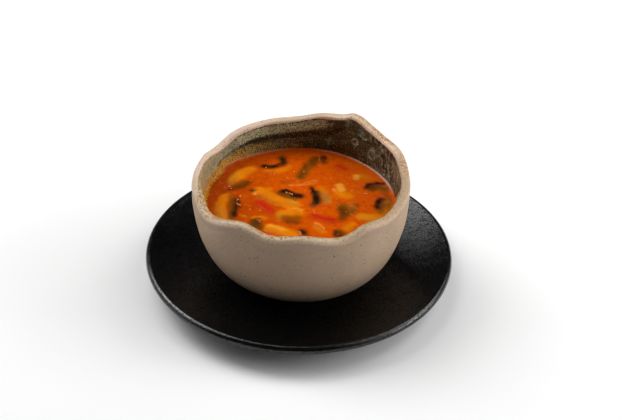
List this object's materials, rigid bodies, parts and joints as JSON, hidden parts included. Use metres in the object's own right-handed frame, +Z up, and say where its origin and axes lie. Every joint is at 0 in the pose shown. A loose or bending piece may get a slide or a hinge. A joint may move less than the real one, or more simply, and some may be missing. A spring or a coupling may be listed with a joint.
{
  "type": "bowl of tom yum soup",
  "caption": "Hot and sour orange soup with mushroom slices, stems and red chilli in a hand-pressed sand stoneware bowl with a wavy lip, standing on a black saucer.",
  "frame": {"origin": "centre of the saucer's foot ring, on the surface it stands on", "axes": "+Z up along the axis of saucer, bowl and soup; +Y towards the bowl's high side"},
  "size_m": [0.1996, 0.1996, 0.0879],
  "materials": {
    "black_glaze": "satin",
    "sand_stoneware": "satin",
    "chilli_broth": "wet",
    "mushroom": "wet",
    "mushroom_stem": "wet",
    "red_chilli": "wet"
  },
  "bodies": {
    "root": {"bowl": "sand_stoneware", "chilli_back": "red_chilli", "chilli_front": "red_chilli", "chilli_left": "red_chilli", "mushroom_back": "mushroom", "mushroom_back_centre": "mushroom", "mushroom_back_left": "mushroom", "mushroom_back_right": "mushroom", "mushroom_centre": "mushroom", "mushroom_centre_right": "mushroom", "mushroom_front": "mushroom", "mushroom_front_centre": "mushroom", "mushroom_front_left": "mushroom", "mushroom_front_right": "mushroom", "mushroom_left": "mushroom", "mushroom_near_left": "mushroom", "mushroom_near_right": "mushroom", "mushroom_right": "mushroom", "mushroom_right_centre": "mushroom", "saucer": "black_glaze", "soup": "chilli_broth", "stem_back_right": "mushroom_stem", "stem_front_centre": "mushroom_stem", "stem_front_left": "mushroom_stem", "stem_front_right": "mushroom_stem", "stem_near": "mushroom_stem", "stem_right": "mushroom_stem", "stem_right_front": "mushroom_stem"}
  },
  "joints": []
}
